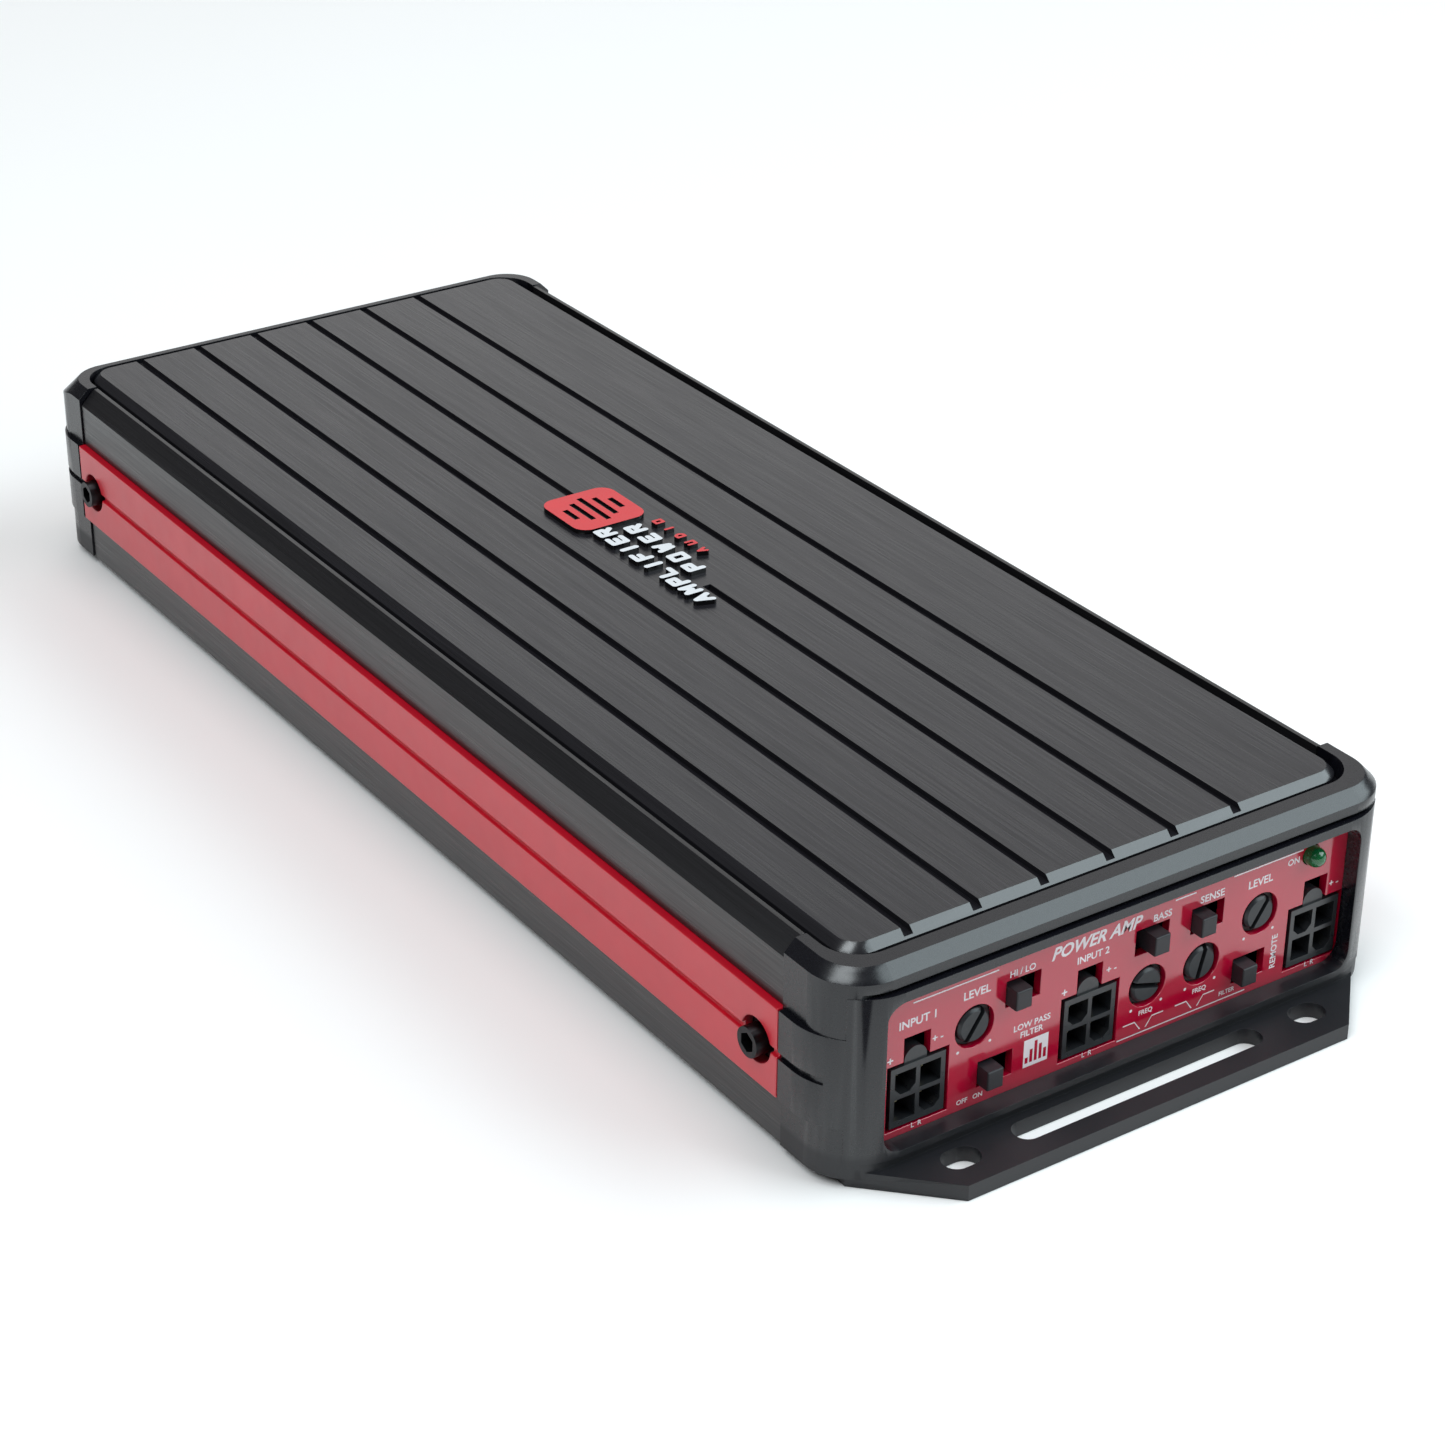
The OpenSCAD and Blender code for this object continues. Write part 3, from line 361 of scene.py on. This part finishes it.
MATERIALS = {
    "shell": brushed("anodised_shell", srgb(26, 25, 27), 0.3, WALL_HAIR),
    "plate": brushed("anodised_plate", srgb(28, 27, 31), 0.28, TOP_HAIR, GROOVE_TOP),
    "caps": cap_plastic(),
    "trim": painted("satin_red", srgb(196, 6, 36), 0.32, 1.8),
    "panel": painted("gloss_red", srgb(176, 0, 44), 0.1, 1.85, 0.03),
    "ink": painted("white_ink", srgb(228, 217, 221), 0.5),
    "steel_black": painted("black_powder_coat", srgb(34, 34, 36), 0.5, 1.5, 0.3),
    "oxide": plated("black_oxide", srgb(46, 46, 48), 0.38),
    "zinc": plated("zinc_plate", srgb(196, 196, 190), 0.3),
    "tin": plated("tinned_brass", srgb(206, 196, 160), 0.28),
    "board": circuit_board(),
    "nylon": moulded("connector_nylon", srgb(32, 33, 36), 0.3, 1800, ior=1.6),
    "control": moulded("control_plastic", srgb(22, 22, 24), 0.5, 2200),
    "shaft": moulded("shaft_plastic", srgb(40, 42, 45), 0.36, 2000),
    "lever": moulded("lever_plastic", srgb(34, 33, 37), 0.42, 2000),
    "led": clear_lens("green_lens", srgb(20, 120, 66), 0.05),
    "fuse": clear_lens("amber_fuse", srgb(226, 116, 26)),
    "ferrite": painted("core_coat", srgb(96, 132, 84), 0.35),
    "copper": wound_copper(),
    "inductor": moulded("inductor_block", srgb(56, 58, 64), 0.55, 1200, 0.00008),
    "sleeve": painted("capacitor_sleeve", srgb(24, 34, 70), 0.25),
    "package": moulded("chip_epoxy", srgb(28, 28, 30), 0.55, 3000),
    "pad": moulded("silicone_pad", srgb(140, 148, 158), 0.7, 1500),
    "bar": plated("mill_aluminium", srgb(190, 190, 194), 0.4),
    # The second colour of each badge is the painted shade of its side walls, also given to its sunk
    # level faces.
    "emblem": topped("badge_red", srgb(206, 30, 40), srgb(14, 12, 14), 0.2),
    "letters": topped("badge_white", srgb(216, 218, 222), srgb(14, 12, 14), 0.25),
}

NODE_MATERIALS = {
    "heatsink": "shell", "top_plate": "plate", "plate_screws": "zinc",
    "trim_left": "trim", "trim_right": "trim", "front_cap": "caps", "rear_cap": "caps",
    "front_panel": "panel", "rear_panel": "panel", "bottom_plate": "steel_black",
    "bottom_screws": "zinc", "side_screws": "oxide", "main_board": "board", "board_screws": "zinc",
    "control_board": "board", "output_board": "board", "board_links": "nylon",
    "input_socket_1": "nylon", "input_socket_2": "nylon", "input_socket_3": "nylon",
    "input_pins": "tin", "gain_trimmer_1": "control", "gain_trimmer_2": "control",
    "filter_trimmer_1": "control", "filter_trimmer_2": "control",
    "gain_shaft_1": "shaft", "gain_shaft_2": "shaft", "filter_shaft_1": "shaft",
    "filter_shaft_2": "shaft", "input_switch": "control", "low_filter_switch": "control",
    "bass_switch": "control", "sense_switch": "control", "high_filter_switch": "control",
    "input_slider": "lever", "low_filter_slider": "lever", "bass_slider": "lever",
    "sense_slider": "lever", "high_filter_slider": "lever", "power_led": "led",
    "power_terminal": "nylon", "terminal_cages": "zinc", "terminal_screws": "zinc",
    "speaker_socket": "nylon", "speaker_pins": "tin", "fuse_holder": "nylon", "fuses": "fuse",
    "toroid_core": "ferrite", "toroid_winding": "copper", "output_inductors": "inductor",
    "reservoir_capacitors": "sleeve", "power_transistors": "package", "thermal_pads": "pad",
    "clamp_bars": "bar", "clamp_screws": "zinc", "driver_chips": "package",
    "badge_emblem": "emblem", "badge_letters": "letters",
}

# Edge rounding of the visible nodes, in millimetres
EDGES = {
    "heatsink": 0.15, "top_plate": 0.12, "trim_left": 0.2, "trim_right": 0.2,
    "front_cap": 0.3, "rear_cap": 0.3, "front_panel": 0.1, "rear_panel": 0.1,
    "side_screws": 0.2, "input_socket_1": 0.15, "input_socket_2": 0.15, "input_socket_3": 0.15,
    "gain_shaft_1": 0.08, "gain_shaft_2": 0.08, "filter_shaft_1": 0.08, "filter_shaft_2": 0.08,
    "input_slider": 0.25, "low_filter_slider": 0.25, "bass_slider": 0.25, "sense_slider": 0.25,
    "high_filter_slider": 0.25, "power_terminal": 0.25, "speaker_socket": 0.15,
    "fuse_holder": 0.2, "fuses": 0.3, "badge_emblem": 0.15, "badge_letters": 0.12,
    "bottom_plate": 0.2,
}


# Nodes with wide flat faces, whose triangles are joined so that no shading streaks show
FLAT_NODES = ("trim_left", "trim_right", "front_panel", "rear_panel")


def dress_nodes():
    for name, key in NODE_MATERIALS.items():
        part = nodes[name]
        part.data.materials.clear()
        part.data.materials.append(MATERIALS[key])
        if name in EDGES:
            weld = part.modifiers.new("weld", "WELD")
            weld.merge_threshold = WELD_REACH
            if name in FLAT_NODES:
                flat = part.modifiers.new("flat", "DECIMATE")
                flat.decimate_type = "DISSOLVE"
                flat.angle_limit = math.radians(1)
            bevel = part.modifiers.new("edges", "BEVEL")
            bevel.width = EDGES[name] * MM
            bevel.segments = 2
            bevel.limit_method = "ANGLE"
            bevel.angle_limit = math.radians(40)
            bevel.harden_normals = True


# ---------- printed marks ----------

class Marks:
    """Flat white print on a panel, drawn in millimetres across and up."""

    def __init__(self, facing):
        self.facing = facing
        self.bm = bmesh.new()

    def point(self, across, up):
        """Place of a point of the print, which lies just in front of the panel's face."""
        depth = PRINT_Y * self.facing
        return Vector((-self.facing * across * MM, depth * MM, up * MM))

    def polygon(self, points):
        self.bm.faces.new([self.bm.verts.new(self.point(*p)) for p in points])

    def bar(self, x0, x1, z, thickness=0.16):
        half = thickness / 2
        self.polygon([(x0, z - half), (x1, z - half), (x1, z + half), (x0, z + half)])

    def dot(self, x, z, radius):
        self.polygon([
            (x + radius * math.cos(i * math.tau / 12), z + radius * math.sin(i * math.tau / 12))
            for i in range(12)
        ])

    def words(self, text, x, z, height, shear=0.0, turned=False, weight=0.03):
        """Lettering centred on x, z, with capitals of the given height."""
        curve = bpy.data.curves.new("words", "FONT")
        curve.body = text
        curve.size = height / 0.69
        curve.shear = shear
        curve.offset = weight * height
        curve.resolution_u = 3
        curve.align_x = "CENTER"
        curve.align_y = "CENTER"
        holder = bpy.data.objects.new("words", curve)
        bpy.context.scene.collection.objects.link(holder)
        bpy.context.view_layer.update()
        shaped = holder.evaluated_get(bpy.context.evaluated_depsgraph_get())
        mesh = bpy.data.meshes.new_from_object(shaped)
        bpy.data.objects.remove(holder)
        made = []
        for vertex in mesh.vertices:
            across, up = vertex.co.x, vertex.co.y
            if turned:
                across, up = -up, across
            made.append(self.bm.verts.new(self.point(x + across, z + up)))
        for face in mesh.polygons:
            self.bm.faces.new([made[i] for i in face.vertices])
        bpy.data.meshes.remove(mesh)

    def finish(self, name):
        bmesh.ops.recalc_face_normals(self.bm, faces=self.bm.faces)
        mesh = bpy.data.meshes.new(name)
        self.bm.to_mesh(mesh)
        self.bm.free()
        piece = bpy.data.objects.new(name, mesh)
        bpy.context.scene.collection.objects.link(piece)
        mesh.materials.append(MATERIALS["ink"])
        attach(piece, CHASSIS)
        return piece


def dial(marks, x, z):
    """End dots of a trimmer's scale."""
    radius = 4.3
    for turn in (-140, 140):
        t = math.radians(turn)
        marks.dot(x + radius * math.sin(t), z + radius * math.cos(t), 0.24)


def slope_sketch(marks, x, z, falling):
    """Small frequency response sketch: a level stretch, then a slope."""
    way = 1 if falling else -1
    knee = x + 0.7 * way
    marks.bar(min(x - 1.4 * way, knee), max(x - 1.4 * way, knee), z + 0.8, 0.2)
    marks.polygon([
        (knee, z + 0.7), (knee, z + 0.9), (knee + 1.2 * way, z - 0.7), (knee + 0.95 * way, z - 0.7),
    ])


def level_patch(marks, x0, x1, z0, z1):
    """White patch with level bars left clear, so that the red shows through them."""
    heights = (0.25, 0.55, 0.85, 0.65, 0.4)
    step = (x1 - x0) / (len(heights) + 0.35)
    gap = 0.35 * step
    foot = z0 + 0.6
    marks.bar(x0, x1, (z0 + foot) / 2, foot - z0)
    for i, height in enumerate(heights):
        left = x0 + i * step
        marks.bar(left, left + gap, (foot + z1) / 2, z1 - foot)
        top = foot + (z1 - foot) * height
        marks.bar(left + gap, left + step, (top + z1) / 2, z1 - top)
    marks.bar(x1 - gap, x1, (foot + z1) / 2, z1 - foot)


def print_front():
    marks = Marks(-1)
    for x0, x1, z in ((-36, -21.6, 25.7), (9.6, 13.4, 25.9), (20.4, 33.6, 26.1)):
        marks.bar(x0, x1, z, 0.22)
    marks.words("POWER AMP", -4.6, 24.6, 1.9, 0.3, weight=0.04)
    marks.words("INPUT 1", -35, 22.6, 1.25)
    marks.words("LEVEL", -25.2, 23.4, 1.25)
    marks.words("HI / LO", -17.4, 24.1, 1.0)
    marks.words("INPUT 2", -4.9, 22.0, 1.1)
    marks.words("BASS", 7.4, 24.2, 1.1)
    marks.words("SENSE", 16.6, 24.2, 1.15)
    marks.words("LEVEL", 25.7, 23.5, 1.25)
    marks.words("ON", 31.9, 24.7, 1.0)
    marks.words("LOW PASS", -15.2, 14.8, 0.95)
    marks.words("FILTER", -15.2, 13.4, 0.95)
    marks.words("OFF   ON", -25.6, 6.3, 0.75)
    marks.words("FILTER", 21.0, 6.7, 0.7)
    marks.words("REMOTE", 29.7, 10.4, 1.05, turned=True)
    for x, z in ((-39.5, 17.6), (-9.7, 17.6)):
        marks.words("+", x, z, 1.3)
    for x, z in ((-31.6, 18.6), (-1.4, 18.6), (40.4, 18.4)):
        marks.words("+ -", x, z, 1.1)
    for x in (-34.7, -4.9, 37.1):
        marks.words("L  R", x, 5.75, 0.75)
    for x, z in ((-25.3, 18), (26.2, 18), (5.6, 13.3), (15.6, 13.3)):
        dial(marks, x, z)
    for x in (3.0, 12.6):
        slope_sketch(marks, x, 7.0, True)
        slope_sketch(marks, x + 4.6, 7.0, False)
    marks.words("FREQ", 5.6, 9.0, 0.75)
    marks.words("FREQ", 15.6, 9.0, 0.75)
    marks.bar(0.6, 24.6, 5.7, 0.2)
    level_patch(marks, -16.4, -12.1, 7.7, 12.2)
    return marks.finish("front_panel_print")


def print_rear():
    marks = Marks(1)
    # across runs from the viewer's left, so it is the opposite of X
    marks.bar(-38, 38, 27.6)
    for i, text in enumerate(("+12V", "REM", "GND")):
        marks.words(text, 22 + (1 - i) * 9.4, 22.6, 1.6)
    marks.words("FUSE", -4.4, 22.6, 1.6)
    marks.words("SPEAKERS", -27, 22.6, 1.6)
    marks.words("1    2    3    4", -27, 4.9, 1.0)
    return marks.finish("rear_panel_print")


dress_nodes()
add_camera()
add_studio()
print_front()
print_rear()
